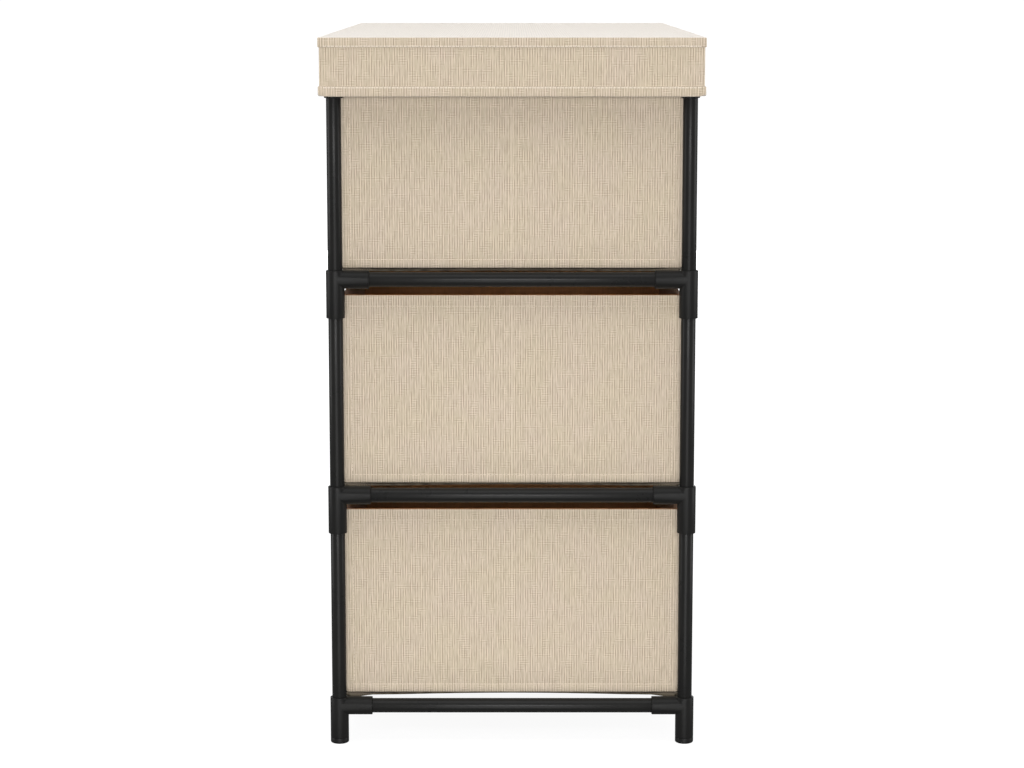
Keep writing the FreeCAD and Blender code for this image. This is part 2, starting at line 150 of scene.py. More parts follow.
def black_finish(name, grain, grain_depth, gloss, dull, body):
    """Black plastic or paint: fine skin, uneven gloss from handling, a few pale specks of wear."""
    finish, shader = new_finish(name)
    place = wire(finish, "TexCoord", {}).outputs["Object"]
    skin = wire(finish, "TexNoise", {"Vector": place, "Scale": grain, "Detail": 3}).outputs[0]
    handling = wire(finish, "TexNoise", {"Vector": place, "Scale": 38, "Detail": 5,
                                         "Roughness": 0.6}).outputs[0]
    specks = wire(finish, "TexNoise", {"Vector": place, "Scale": 420, "Detail": 6,
                                       "Roughness": 0.75}).outputs[0]
    paler_marks = between(finish, specks, low=0.66, high=0.74)
    uneven = between(finish, handling, low=0.3, high=0.7, new_low=gloss, new_high=dull)
    colour = blend(finish, handling, grey(body), (body * 1.5, body * 1.45, body * 1.35, 1))
    colour = blend(finish, paler_marks, colour, grey(body * 3))
    bump = wire(finish, "Bump", {"Strength": 0.6, "Distance": grain_depth, "Height": skin})
    links = finish.node_tree.links
    links.new(colour, shader.inputs["Base Color"])
    links.new(uneven, shader.inputs["Roughness"])
    links.new(bump.outputs[0], shader.inputs["Normal"])
    shader.inputs["IOR"].default_value = 1.5
    shader.inputs["Specular IOR Level"].default_value = 0.1
    return finish


black_plastic = black_finish("black_plastic", grain=1500, grain_depth=0.02 * mm,
                             gloss=0.36, dull=0.46, body=0.0078)

bpy.ops.mesh.primitive_cylinder_add(vertices=round_sides, radius=sleeve_radius,
                                    depth=plug_flange, location=(0, 0, plug_flange / 2))
foot_plug = open_for_shaping("foot_plug")
choose("edges", lambda edge: at(edge, 2, 0))
bpy.ops.mesh.bevel(offset=plug_floor_round, segments=5, affect="EDGES")
choose("edges", lambda edge: at(edge, 2, plug_flange))
bpy.ops.mesh.bevel(offset=plug_edge_round, segments=2, affect="EDGES")
choose("faces", lambda face: at(face, 2, plug_flange))
bpy.ops.mesh.inset(thickness=sleeve_radius - spigot_radius - plug_edge_round)
pull_out(z=plug_spigot)
choose("edges", lambda edge: at(edge, 2, plug_flange + plug_spigot))
bpy.ops.mesh.bevel(offset=spigot_tip_round, segments=3, affect="EDGES")
close_shape(foot_plug)
foot_plug.data.materials.append(black_plastic)

for column, x in columns.items():
    for side, y in sides.items():
        piece = copy_of(foot_plug, f"foot_plug_{side}_{column}", (x, y, 0))
        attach(piece, "frame")
        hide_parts("foot_plugs")
bpy.data.objects.remove(foot_plug)


# Connectors. Twenty-four plastic mouldings, six to a level: a leg below a short body, with two
# side sleeves at a corner and three in the middle. Each sleeve is a socket that grips a tube.

levels = [(29.2 + 166.7 * level) * mm for level in range(4)]
sleeve_reach = 25.6 * mm
sleeve_step = 0.06 * mm
mouth_ease = 0.45 * mm
leg_reach = 29.5 * mm
foot_leg_reach = levels[0] - plug_flange
bore_radius = 5.68 * mm
upper_floor = -7.58 * mm
lower_floor = -9.58 * mm
side_floor = 8.58 * mm
laid_over = {"z": (0, 0, 0), "x": (0, math.pi / 2, 0), "y": (-math.pi / 2, 0, 0)}
ways = {"z": Vector((0, 0, 1)), "x": Vector((1, 0, 0)), "y": Vector((0, 1, 0))}


def stub(way, radius, low, high):
    """A round bar along one axis, from low to high, open for shaping."""
    bpy.ops.mesh.primitive_cylinder_add(
        vertices=round_sides, radius=radius, depth=high - low,
        location=ways[way] * (low + high) / 2, rotation=laid_over[way])
    return open_for_shaping("stub")


def sleeve(way, radius, low, high, mouths):
    """A sleeve of the moulding with the rim of each of its mouths eased."""
    piece = stub(way, radius, low, high)
    axis = "xyz".index(way)
    choose("edges", lambda edge: any(at(edge, axis, mouth) for mouth in mouths))
    bpy.ops.mesh.bevel(offset=mouth_ease, segments=3, affect="EDGES")
    bpy.ops.object.mode_set(mode="OBJECT")
    return piece


def combine(body, tool, operation):
    """Weld a stub to the moulding or bore it out."""
    pick(body)
    bpy.ops.object.modifier_add(type="BOOLEAN")
    body.modifiers[-1].operation = operation
    body.modifiers[-1].object = tool
    bpy.ops.object.modifier_apply(modifier=body.modifiers[-1].name)
    bpy.data.objects.remove(tool)


def connector(name, arms, leg):
    """Mould a leg, a body and the side sleeves. Each arm gives a sleeve's axis and direction."""
    moulding = sleeve("z", sleeve_radius, -leg, sleeve_radius, (-leg, sleeve_radius))
    for way, sign in arms:
        mouth = sleeve_reach * sign
        combine(moulding, sleeve(way, sleeve_radius - sleeve_step, min(0, mouth), max(0, mouth),
                                 (mouth,)), "UNION")
    holes = [("z", upper_floor, sleeve_radius + mm), ("z", -leg - mm, lower_floor)]
    holes += [(way, *sorted((side_floor * sign, (sleeve_reach + mm) * sign)))
              for way, sign in arms]
    for way, low, high in holes:
        bore = stub(way, bore_radius, low, high)
        bpy.ops.object.mode_set(mode="OBJECT")
        combine(moulding, bore, "DIFFERENCE")
    moulding.name = moulding.data.name = name
    moulding.data.materials.clear()
    moulding.data.materials.append(black_plastic)
    return close_shape(moulding, 28)


corner_arms = (("x", 1), ("y", 1))
middle_arms = (("x", 1), ("x", -1), ("y", 1))
corner_model = connector("corner_connector", corner_arms, leg_reach)
middle_model = connector("middle_connector", middle_arms, leg_reach)
corner_foot_model = connector("corner_foot_connector", corner_arms, foot_leg_reach)
middle_foot_model = connector("middle_foot_connector", middle_arms, foot_leg_reach)
corner_turns = {("left", "front"): 0, ("right", "front"): 90,
                ("right", "back"): 180, ("left", "back"): 270}

for level, height in enumerate(levels):
    for (column, side), turn in corner_turns.items():
        piece = copy_of(corner_model if level else corner_foot_model,
                        f"connector_{level + 1}_{side}_{column}",
                        (columns[column], sides[side], height), turn)
        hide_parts(f"corner_connectors_{level + 1}")
        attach(piece, "frame")
    for side, turn in (("front", 0), ("back", 180)):
        piece = copy_of(middle_model if level else middle_foot_model,
                        f"connector_{level + 1}_{side}_middle", (0, sides[side], height), turn)
        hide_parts(f"middle_connectors_{level + 1}")
        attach(piece, "frame")
for model in (corner_model, middle_model, corner_foot_model, middle_foot_model):
    bpy.data.objects.remove(model)


# Tubes. Thin steel with black paint, sawn square and pushed into the sockets: eighteen posts one
# tier high, sixteen long rails one bay wide and twelve cross rails from front to back.

tube_radius = 5.6 * mm
tube_wall = 0.8 * mm
tube_end_ease = 0.12 * mm
post_start = upper_floor + 0.3 * mm
post_length = 164.1 * mm
rail_start = 8.88 * mm
black_paint = black_finish("black_paint", grain=2600, grain_depth=0.008 * mm,
                           gloss=0.26, dull=0.32, body=0.0095)


def give_wall(piece, thickness, offset=-1):
    """Turn a skin into a wall, which lies inside the skin at -1 and to both sides at 0."""
    bpy.ops.object.modifier_add(type="SOLIDIFY")
    piece.modifiers[-1].thickness = thickness
    piece.modifiers[-1].offset = offset
    bpy.ops.object.modifier_apply(modifier=piece.modifiers[-1].name)


def tube(name, way, start, length):
    """A tube along one axis, both of its sawn ends eased."""
    bpy.ops.mesh.primitive_cylinder_add(
        vertices=round_sides, radius=tube_radius, depth=length, end_fill_type="NOTHING",
        location=ways[way] * (start + length / 2), rotation=laid_over[way])
    piece = open_for_shaping(name)
    bpy.ops.object.mode_set(mode="OBJECT")
    give_wall(piece, tube_wall)
    bpy.ops.object.mode_set(mode="EDIT")
    axis = "xyz".index(way)
    choose("edges", lambda edge: at(edge, axis, start) or at(edge, axis, start + length))
    bpy.ops.mesh.bevel(offset=tube_end_ease, segments=2, affect="EDGES")
    piece.data.materials.append(black_paint)
    return close_shape(piece)


post = tube("post", "z", post_start, post_length)
long_rail = tube("long_rail", "x", rail_start, columns["right"] - rail_start * 2)
cross_rail = tube("cross_rail", "y", sides["front"] + rail_start,
                  sides["back"] * 2 - rail_start * 2)
tiers = ("bottom", "middle", "top")
for tier, name in enumerate(tiers):
    for column, x in columns.items():
        for side, y in sides.items():
            piece = copy_of(post, f"post_{name}_{side}_{column}", (x, y, levels[tier]))
            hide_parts(f"posts_{name}_tier")
            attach(piece, "frame")
for level, height in enumerate(levels):
    for side, y in sides.items():
        for bay, x in (("left", columns["left"]), ("right", 0)):
            piece = copy_of(long_rail, f"long_rail_{level + 1}_{side}_{bay}", (x, y, height))
            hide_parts(f"long_rails_{level + 1}")
            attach(piece, "frame")
    for column, x in columns.items():
        piece = copy_of(cross_rail, f"cross_rail_{level + 1}_{column}", (x, 0, height))
        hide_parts(f"cross_rails_{level + 1}")
        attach(piece, "frame")
for model in (post, long_rail, cross_rail):
    bpy.data.objects.remove(model)


# Shelf sheets. Doubled dark cloth stretched from the front rails to the back rails, turned round
# both and sewn to itself as a tunnel. It is cut back round the connectors. Its free sides bow in
# and hang a little.

sheet_thick = 1.4 * mm
sheet_gap = 0.1 * mm
sheet_middle = tube_radius + sheet_gap + sheet_thick / 2
tunnel_turn = math.radians(210)
tunnel_end = math.pi / 2 - tunnel_turn
tunnel_arc = sheet_middle * tunnel_turn
seam_height = sheet_middle - sheet_thick - sheet_gap
seam_in = 16.5 * mm
seam_lap = 4 * mm
tunnel_x = (26 * mm, 238 * mm)
notch = 7.5 * mm
slot_end = 108 * mm
deck_end = 129.2 * mm
# The cut of the free side, in millimetres: how far back from the middle, and how far out.
edge_line = ((0, 246), (27, 246.4), (54, 247.6), (82, 249.8), (108.8, 252.6), (119.5, 259.3),
             (126.4, 259.3), (126.6, 256.5), (129.2, 256.5))
side_sag = 1.0 * mm
taut_to, loose_width = 217 * mm, 29 * mm
corner_start, corner_ease = 119.5 * mm, 20 * mm
thread_thick, thread_sides = 0.42 * mm, 6
stitch_length = 2.6 * mm
stitch_pitch = 3.0 * mm
stitch_rise, stitch_dip = 0.08 * mm, 0.14 * mm
stitch_flat, stitch_slope, stitch_taper = 0.7, 0.15, 0.45


def woven_finish(name, pale, dark, pitch, depth, weft, sheen):
    """Plain weave with upright ribs. The yarns swell and thin along their length, and in patches
    the cross threads show. Read from a map in metres, so that it follows each panel's cut."""
    finish, shader = new_finish(name)
    links = finish.node_tree.links
    cut = wire(finish, "TexCoord", {}).outputs["UV"]

    def yarn_noise(across, along, detail=2.0, shift=0.0):
        scaled = wire(finish, "Mapping", {"Vector": cut, "Location": (shift, shift, 0),
                                          "Scale": (1 / across, 1 / along, 1)}).outputs[0]
        return wire(finish, "TexNoise", {"Vector": scaled, "Scale": 1.0, "Detail": detail},
                    noise_dimensions="2D").outputs[0]

    def threads(direction, pitch, wander):
        # A wave texture of scale 1 has its bands 2 pi / 20 apart.
        waves = wire(finish, "TexWave", {
            "Vector": cut, "Scale": 2 * math.pi / (20 * pitch), "Distortion": wander,
            "Detail": 2.0, "Detail Scale": 0.6}, bands_direction=direction)
        return waves.outputs["Fac"]

    def times(a, b):
        return wire(finish, "Math", {0: a, 1: b}, operation="MULTIPLY").outputs[0]

    def plus(a, b):
        return wire(finish, "Math", {0: a, 1: b}, operation="ADD").outputs[0]

    def centred(a):
        return wire(finish, "Math", {0: a, 1: 0.5}, operation="SUBTRACT").outputs[0]

    swelling = between(finish, yarn_noise(across=2.6 * mm, along=11 * mm),
                       low=0.34, high=0.66, new_high=1.2)
    showing = between(finish, yarn_noise(across=9 * mm, along=6 * mm, shift=31.7),
                      low=0.53, high=0.68)
    slubs = times(centred(yarn_noise(1.6 * mm, 11 * mm, detail=1.0, shift=11.3)), 0.5)
    ribs = plus(times(centred(threads("X", pitch, wander=0.25)), swelling), slubs)
    crossings = times(centred(threads("Y", pitch * 0.97, wander=0.4)), times(showing, weft))
    height = plus(plus(ribs, crossings), 0.5)
    colour = blend(finish, height, dark, pale)
    dye = between(finish, yarn_noise(34 * mm, 40 * mm, detail=3.0, shift=7.3),
                  low=0.35, high=0.65)
    rosy, yellowish = (0.997, 0.985, 0.987, 1), (0.988, 0.985, 0.953, 1)
    colour = blend(finish, 1.0, colour, blend(finish, dye, rosy, yellowish), "MULTIPLY")
    # Paler where the shaping marks it: the fold line of a drawer's side wall is painted paler, and
    # its rim and corners are paler as wear.
    paler_marks = wire(finish, "Attribute", {}, attribute_name="paler_marks").outputs["Fac"]
    paler_colour = [min(1, c * 1.22) for c in pale[:3]] + [1]
    colour = blend(finish, times(paler_marks, 0.5), colour, paler_colour)
    bump = wire(finish, "Bump", {"Strength": 1.0, "Distance": depth, "Height": height})
    dullness = between(finish, height, low=0.0, high=1.2, new_low=0.92, new_high=0.8)
    links.new(colour, shader.inputs["Base Color"])
    links.new(dullness, shader.inputs["Roughness"])
    links.new(bump.outputs[0], shader.inputs["Normal"])
    shader.inputs["Specular IOR Level"].default_value = 0.25
    shader.inputs["Sheen Weight"].default_value = sheen
    shader.inputs["Sheen Roughness"].default_value = 0.5
    return finish


def thread_finish(name, colour):
    """Twisted sewing thread: a diagonal twist in its colour and its relief."""
    finish, shader = new_finish(name)
    place = wire(finish, "TexCoord", {}).outputs["Object"]
    twist = wire(finish, "TexWave", {"Vector": place, "Scale": 420, "Distortion": 1.0},
                 bands_direction="DIAGONAL").outputs["Fac"]
    shades = blend(finish, twist, [c * 0.86 for c in colour[:3]] + [1], colour)
    bump = wire(finish, "Bump", {"Strength": 0.5, "Distance": 0.04 * mm, "Height": twist})
    finish.node_tree.links.new(shades, shader.inputs["Base Color"])
    finish.node_tree.links.new(bump.outputs[0], shader.inputs["Normal"])
    shader.inputs["Roughness"].default_value = 0.7
    shader.inputs["Sheen Weight"].default_value = 0.15
    return finish


def edge_of_deck(y):
    """The sheet's free side at this distance from the middle, from the points of its cut."""
    for (y0, x0), (y1, x1) in zip(edge_line, edge_line[1:]):
        if abs(y) <= y1 * mm + 1e-7:
            return (x0 + (x1 - x0) * max(0, abs(y) / mm - y0) / (y1 - y0)) * mm
    return edge_line[-1][1] * mm


def laid_round(flat_y):
    """Where a place on the flat cut goes: along the deck, round the rail and back to the seam."""
    side = 1 if flat_y >= 0 else -1
    along = abs(flat_y)
    rail = sides["back"]
    if along <= rail:
        return flat_y, sheet_middle
    if along <= rail + tunnel_arc:
        angle = math.pi / 2 - (along - rail) / sheet_middle
        return side * (rail + sheet_middle * math.cos(angle)), sheet_middle * math.sin(angle)
    start = Vector((rail + sheet_middle * math.cos(tunnel_end),
                    sheet_middle * math.sin(tunnel_end)))
    seam = Vector((rail - seam_in, seam_height))
    slant = (seam - start).length
    share = min(1, (along - rail - tunnel_arc) / slant)
    end = start + (seam - start) * share
    lap = max(0, along - rail - tunnel_arc - slant)
    return side * (end.x - lap), end.y


# The rows and columns of the sheet's grid: over the deck, round the tunnel and back to the seam,
# and from the middle to the free side.
tunnel_steps, slant_steps, bay_steps = 14, 4, 10
slant_length = math.hypot(seam_in + sheet_middle * math.cos(tunnel_end),
                          seam_height - sheet_middle * math.sin(tunnel_end))
flat_half = sides["back"] + tunnel_arc + slant_length + seam_lap
across = [0, 21.6, 43.2, 64.8, 86.4, 108, 108.8, 114, 119.5, 126.4, 126.6, 129.2, 134]
across = [y * mm for y in across]
across += [sides["back"] + tunnel_arc * step / tunnel_steps
           for step in range(1, tunnel_steps + 1)]
across += [across[-1] + slant_length * step / slant_steps for step in range(1, slant_steps + 1)]
across += [flat_half]
across = [-y for y in across[:0:-1]] + across
over_tunnel = [tunnel_x[0] + (tunnel_x[1] - tunnel_x[0]) * step / bay_steps
               for step in range(bay_steps + 1)]
lengthways = [0, notch, 16 * mm] + over_tunnel + [243 * mm, 248 * mm]
lengthways = [-x for x in lengthways[:0:-1]] + lengthways

bpy.ops.mesh.primitive_grid_add(x_subdivisions=len(lengthways) - 1,
                                y_subdivisions=len(across) - 1, size=2)
sheet_model = open_for_shaping("shelf_sheet")
bpy.ops.object.mode_set(mode="OBJECT")
cut_map = sheet_model.data.uv_layers.active or sheet_model.data.uv_layers.new(name="cut")
for point in sheet_model.data.vertices:
    x = lengthways[round((point.co.x + 1) / 2 * (len(lengthways) - 1))]
    flat_y = across[round((point.co.y + 1) / 2 * (len(across) - 1))]
    if abs(x) > tunnel_x[1]:
        share = (abs(x) - tunnel_x[1]) / (lengthways[-1] - tunnel_x[1])
        edge = edge_of_deck(min(abs(flat_y), deck_end))
        x = math.copysign(tunnel_x[1] + share * (edge - tunnel_x[1]), x)
    point.co = (x, flat_y, 0)
for loop in sheet_model.data.loops:
    x, flat_y, _ = sheet_model.data.vertices[loop.vertex_index].co
    cut_map.data[loop.index].uv = (x, flat_y)
bpy.ops.object.mode_set(mode="EDIT")


def cut_away(face):
    """Whether this face lies where the sheet is cut back round the posts and connectors."""
    x, y, _ = face.calc_center_median()
    beyond = abs(y) > deck_end and not tunnel_x[0] < abs(x) < tunnel_x[1]
    return beyond or (abs(x) < notch and abs(y) > slot_end)


choose("faces", cut_away)
bpy.ops.mesh.delete(type="FACE")
bpy.ops.object.mode_set(mode="OBJECT")
for point in sheet_model.data.vertices:
    hang = min(1, max(0, (abs(point.co.x) - taut_to) / loose_width))
    hang *= min(1, max(0, (corner_start - abs(point.co.y)) / corner_ease))
    point.co.y, point.co.z = laid_round(point.co.y)
    point.co.z -= side_sag * hang
bpy.ops.object.mode_set(mode="EDIT")
bpy.ops.mesh.select_all(action="SELECT")
bpy.ops.mesh.normals_make_consistent(inside=False)
bpy.ops.object.mode_set(mode="OBJECT")
give_wall(sheet_model, sheet_thick, offset=0)
close_shape(sheet_model, 40)
dark_cloth = woven_finish("shelf_cloth", (0.150, 0.124, 0.088, 1), (0.070, 0.057, 0.041, 1),
                          pitch=1.1 * mm, depth=0.1 * mm, weft=0.8, sheen=0.04)
sheet_model.data.materials.append(dark_cloth)

bpy.ops.mesh.primitive_cylinder_add(
    vertices=thread_sides, radius=thread_thick / 2, depth=stitch_length * stitch_flat,
    rotation=laid_over["x"], location=(0, 0, stitch_rise))
stitch = open_for_shaping("stitch")
for end in (-1, 1):
    choose("faces", lambda face: face.normal.x * end > 0.9)
    pull_out(x=stitch_length * stitch_slope * end, z=-stitch_dip)
    bpy.ops.transform.resize(value=(1, stitch_taper, stitch_taper))
close_shape(stitch, 60)


def sew(name, rows, thread):
    """Rows of stitches as one piece. A row has its start, its end and the way that it faces."""
    laid = []
    for start, end, out in rows:
        start, end, out = Vector(start), Vector(end), Vector(out)
        along = (end - start).normalized()
        count = max(1, int((end - start).length / stitch_pitch))
        spare = ((end - start).length - (count - 1) * stitch_pitch) / 2
        row = copy_of(stitch, "row")
        pick(row)
        bpy.ops.object.modifier_add(type="ARRAY")
        row.modifiers[-1].use_relative_offset = False
        row.modifiers[-1].use_constant_offset = True
        row.modifiers[-1].constant_offset_displace = (stitch_pitch, 0, 0)
        row.modifiers[-1].count = count
        bpy.ops.object.modifier_apply(modifier=row.modifiers[-1].name)
        turn = Matrix((along, out.cross(along), out)).transposed().to_4x4()
        row.data.transform(Matrix.Translation(start + along * spare) @ turn)
        laid.append(row)
    for row in laid:
        row.select_set(True)
    bpy.context.view_layer.objects.active = laid[0]
    bpy.ops.object.join()
    laid[0].name = laid[0].data.name = name
    laid[0].data.materials.append(thread)
    laid[0].select_set(False)
    return laid[0]


dark_thread = thread_finish("dark_thread", (0.17, 0.145, 0.105, 1))
seam_rows = []
for side in (-1, 1):
    for end in (-1, 1):
        y = end * (sides["back"] - seam_in - 2 * mm)
        first, last = (side * place for place in tunnel_x)
        above = sheet_middle + sheet_thick / 2
        below = seam_height - sheet_thick / 2
        seam_rows.append(((first, y, above), (last, y, above), (0, 0, 1)))
        seam_rows.append(((first, y, below), (last, y, below), (0, 0, -1)))
seam_model = sew("sheet_seam", seam_rows, dark_thread)

for number in (1, 2, 3):
    height = levels[number - 1]
    seams = copy_of(seam_model, f"shelf_sheet_{number}_seams", (0, 0, height))
    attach(seams, "frame")
    piece = copy_of(sheet_model, f"shelf_sheet_{number}_cloth", (0, 0, height))
    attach(piece, "frame")
    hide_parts(f"shelf_sheet_{number}")
bpy.data.objects.remove(sheet_model)
bpy.data.objects.remove(seam_model)


# Drawers. Six boxes of ribbed beige cloth, lined with brown cloth. Cards stand in the walls
# between seams sewn through both cloths, a loose card lies on the floor, and a folded strap is
# sewn on the front as a pull. They stand loose on the sheets and slide out to the front.

drawer_half = (121.35 * mm, 129.5 * mm)
drawer_centres = {"left": -132 * mm, "right": 132 * mm}
drawer_places = {"bottom": (36.6 * mm, 182.4 * mm), "middle": (203.3 * mm, 349.1 * mm),
                 "top": (370.0 * mm, 500.2 * mm)}
outer_thick, card_thick, lining_thick = 0.8 * mm, 1.6 * mm, 0.6 * mm
side_seam, top_seam, base_seam = 6.5 * mm, 8.4 * mm, 6.5 * mm
seam_half, seam_depth, seam_end = 1.1 * mm, 0.32 * mm, 4 * mm
fold_half, fold_depth = 1.0 * mm, 0.14 * mm
fold_paleness, rim_wear = 0.55, 0.35
cloth_wave, lining_wave = 0.2 * mm, 0.25 * mm
corner_round, outer_base_round, lining_base_round = 2.5 * mm, 1.1 * mm, 0.45 * mm
outer_rim_round, lining_rim_round = 0.2 * mm, 0.12 * mm
lining_below_rim, turned_out = 0.3 * mm, 0.94
wall_steps = 6
# How far along the roll of cloth, in metres, the panels of each drawer are cut.
roll_places = {"bottom": (20.824, 21.509), "middle": (22.194, 22.879), "top": (23.975, 24.66)}

beige_cloth = woven_finish("beige_cloth", (0.62, 0.53, 0.42, 1), (0.36, 0.295, 0.22, 1),
                           pitch=1.9 * mm, depth=0.11 * mm, weft=0.55, sheen=0.12)
brown_cloth = woven_finish("lining_cloth", (0.53, 0.238, 0.095, 1), (0.365, 0.158, 0.056, 1),
                           pitch=0.9 * mm, depth=0.06 * mm, weft=0.8, sheen=0.1)
beige_thread = thread_finish("beige_thread", (0.71, 0.605, 0.48, 1))


def card_finish(name, colour):
    """Pressed card: flecks of fibre and a faintly uneven face."""
    finish, shader = new_finish(name)
    place = wire(finish, "TexCoord", {}).outputs["Object"]
    fibre = wire(finish, "TexNoise", {"Vector": place, "Scale": 900, "Detail": 5}).outputs[0]
    clouds = wire(finish, "TexNoise", {"Vector": place, "Scale": 22, "Detail": 4}).outputs[0]
    dark = [c * 0.7 for c in colour[:3]] + [1]
    shades = blend(finish, between(finish, fibre, low=0.35, high=0.65), dark, colour)
    shades = blend(finish, between(finish, clouds, low=0.3, high=0.7, new_high=0.3), shades, dark)
    bump = wire(finish, "Bump", {"Strength": 0.5, "Distance": 0.05 * mm, "Height": fibre})
    finish.node_tree.links.new(shades, shader.inputs["Base Color"])
    finish.node_tree.links.new(bump.outputs[0], shader.inputs["Normal"])
    shader.inputs["Roughness"].default_value = 0.85
    shader.inputs["Specular IOR Level"].default_value = 0.15
    return finish


grey_card = card_finish("grey_card", (0.36, 0.31, 0.25, 1))


def cut_across(axis, places):
    """Cut the whole of the open piece at these places along an axis, for points to shape."""
    normal = [float(axis == n) for n in range(3)]
    for place in places:
        bpy.ops.mesh.select_all(action="SELECT")
        bpy.ops.mesh.bisect(plane_co=[place * n for n in normal], plane_no=normal)


def lay_weave(piece):
    """Map each panel in metres, with the ribs upright on walls and lengthwise on flats."""
    mesh = piece.data
    cut_map = mesh.uv_layers.active or mesh.uv_layers.new(name="cut")
    for face in mesh.polygons:
        for index in face.loop_indices:
            x, y, z = mesh.vertices[mesh.loops[index].vertex_index].co
            if abs(face.normal.z) > 0.75:
                cut_map.data[index].uv = (y, x)
            elif abs(face.normal.x) > abs(face.normal.y):
                cut_map.data[index].uv = (y, z)
            else:
                cut_map.data[index].uv = (x, z)


def slide_weave(piece, u, v):
    """Cut this copy from another part of the roll."""
    for point in piece.data.uv_layers.active.data:
        point.uv = (point.uv[0] + u, point.uv[1] + v)


def cloth_box(name, half_x, half_y, base, rim, rounding, base_round):
    """An open box with rounded corners, as one skin that is open for shaping."""
    bpy.ops.mesh.primitive_cube_add(
        size=1, location=(0, 0, (base + rim) / 2), scale=(half_x * 2, half_y * 2, rim - base))
    box = open_for_shaping(name)
    choose("faces", lambda face: at(face, 2, rim))
    bpy.ops.mesh.delete(type="FACE")
    choose("edges", lambda edge: abs(edge.verts[0].co.z - edge.verts[1].co.z) > mm)
    bpy.ops.mesh.bevel(offset=rounding, segments=5, affect="EDGES")
    choose("edges", lambda edge: at(edge, 2, base) and len(edge.link_faces) == 2
           and min(face.normal.z for face in edge.link_faces) < -0.9
           and max(face.normal.z for face in edge.link_faces) > -0.5)
    bpy.ops.mesh.bevel(offset=base_round, segments=3, affect="EDGES")
    return box


def thicken(piece, thickness, round_rim):
    """Give the box its cloth's thickness, inwards, and round the edges of its rim."""
    bpy.ops.object.mode_set(mode="OBJECT")
    give_wall(piece, thickness)
    bpy.ops.object.modifier_add(type="BEVEL")
    piece.modifiers[-1].width = round_rim
    piece.modifiers[-1].segments = 2
    piece.modifiers[-1].angle_limit = math.radians(55)
    bpy.ops.object.modifier_apply(modifier=piece.modifiers[-1].name)


def outer_cloth(name, height, seam_at_top):
    """The outer cloth, drawn in along its seams, with a fold down the middle of each side wall
    where the drawer is folded flat for storage."""
    half_x, half_y = drawer_half
    box = cloth_box(name, half_x, half_y, 0, height, corner_round, outer_base_round)
    for axis, half in enumerate(drawer_half):
        lines = [(half - side_seam) * sign + step * seam_half
                 for sign in (-1, 1) for step in (-1, 0, 1)]
        lines += [half * step / wall_steps for step in range(1 - wall_steps, wall_steps) if step]
        if axis == 1:
            lines += [-fold_half, 0, fold_half]
        cut_across(axis, lines)
    cut_across(2, [place + step * seam_half for place in (base_seam, height - top_seam)
                   for step in (-1, 0, 1)]
               + [height * step / wall_steps for step in range(1, wall_steps)]
               + [height - 2 * mm])
    bpy.ops.object.mode_set(mode="OBJECT")
    paler_marks = box.data.attributes.new("paler_marks", "FLOAT", "POINT")
    moves = []
    for point in box.data.vertices:
        x, y, z = point.co
        side_wall = half_x - abs(x) < 0.01 * mm
        front_wall = half_y - abs(y) < 0.01 * mm
        drawn = 0.0
        if (side_wall or front_wall) and z > outer_base_round + 0.1 * mm:
            along, half = (y, half_y) if side_wall else (x, half_x)
            near = min(abs(abs(along) - half + side_seam), abs(z - base_seam),
                       abs(z - height + top_seam))
            drawn = -seam_depth if near < 0.05 * mm else 0.0
            if near > 2 * mm:
                drawn = cloth_wave * noise.noise(Vector((x * 19, y * 19, z * 23)))
            # Down the middle of a side wall the fold is pressed in a little, and its line is
            # painted paler than the cloth.
            if side_wall and abs(y) < 0.05 * mm and base_seam < z < height - top_seam:
                drawn -= fold_depth
                paler_marks.data[point.index].value = fold_paleness
        # The rim and the rounded corners are marked paler, as wear.
        if z > height - 0.01 * mm or (not side_wall and not front_wall and z > 2 * mm):
            paler_marks.data[point.index].value = rim_wear
        moves.append(point.normal * drawn)
    for point, move in zip(box.data.vertices, moves):
        point.co += move
    thicken(box, outer_thick, outer_rim_round)
    lay_weave(box)
    box.data.materials.append(beige_cloth)
    close_shape(box, 50)

    rows = []
    out_x, out_y = (half - seam_depth + 0.04 * mm for half in drawer_half)
    end_x, end_y = half_x - seam_end, half_y - seam_end
    for z in (base_seam, height - top_seam) if seam_at_top else (base_seam,):
        for sign in (-1, 1):
            rows.append(((-end_x, out_y * sign, z), (end_x, out_y * sign, z), (0, sign, 0)))
            rows.append(((out_x * sign, -end_y, z), (out_x * sign, end_y, z), (sign, 0, 0)))
    low, high = base_seam + 2 * mm, height - top_seam - 2 * mm
    for sign in (-1, 1):
        for end in (-1, 1):
            x, y = (half_x - side_seam) * sign, (half_y - side_seam) * end
            rows.append(((x, out_y * end, low), (x, out_y * end, high), (0, end, 0)))
            rows.append(((out_x * sign, y, low), (out_x * sign, y, high), (sign, 0, 0)))
    return box, sew(name + "_stitching", rows, beige_thread)


def inner_lining(name, height):
    """The lining, with its rim turned out over the cards and sewn to the outer cloth."""
    inset = outer_thick + card_thick
    half_x, half_y = drawer_half[0] - inset, drawer_half[1] - inset
    box = cloth_box(name, half_x, half_y, outer_thick, height - lining_below_rim,
                    corner_round - mm, lining_base_round)
    choose("edges", lambda edge: len(edge.link_faces) == 1)
    pull_out()
    reach = card_thick * turned_out
    bpy.ops.transform.resize(value=((half_x + reach) / half_x, (half_y + reach) / half_y, 1))
    for axis, half in enumerate((half_x, half_y)):
        cut_across(axis, [half * step / wall_steps for step in range(1 - wall_steps, wall_steps)])
    cut_across(2, [height * step / 5 for step in range(1, 5)] + [height - 3 * mm])
    bpy.ops.object.mode_set(mode="OBJECT")
    for point in box.data.vertices:
        if outer_thick + mm < point.co.z < height - 2 * mm:
            point.co -= point.normal * lining_wave * abs(noise.noise(point.co * 17))
    thicken(box, lining_thick, lining_rim_round)
    lay_weave(box)
    box.data.materials.append(brown_cloth)
    return close_shape(box, 50)


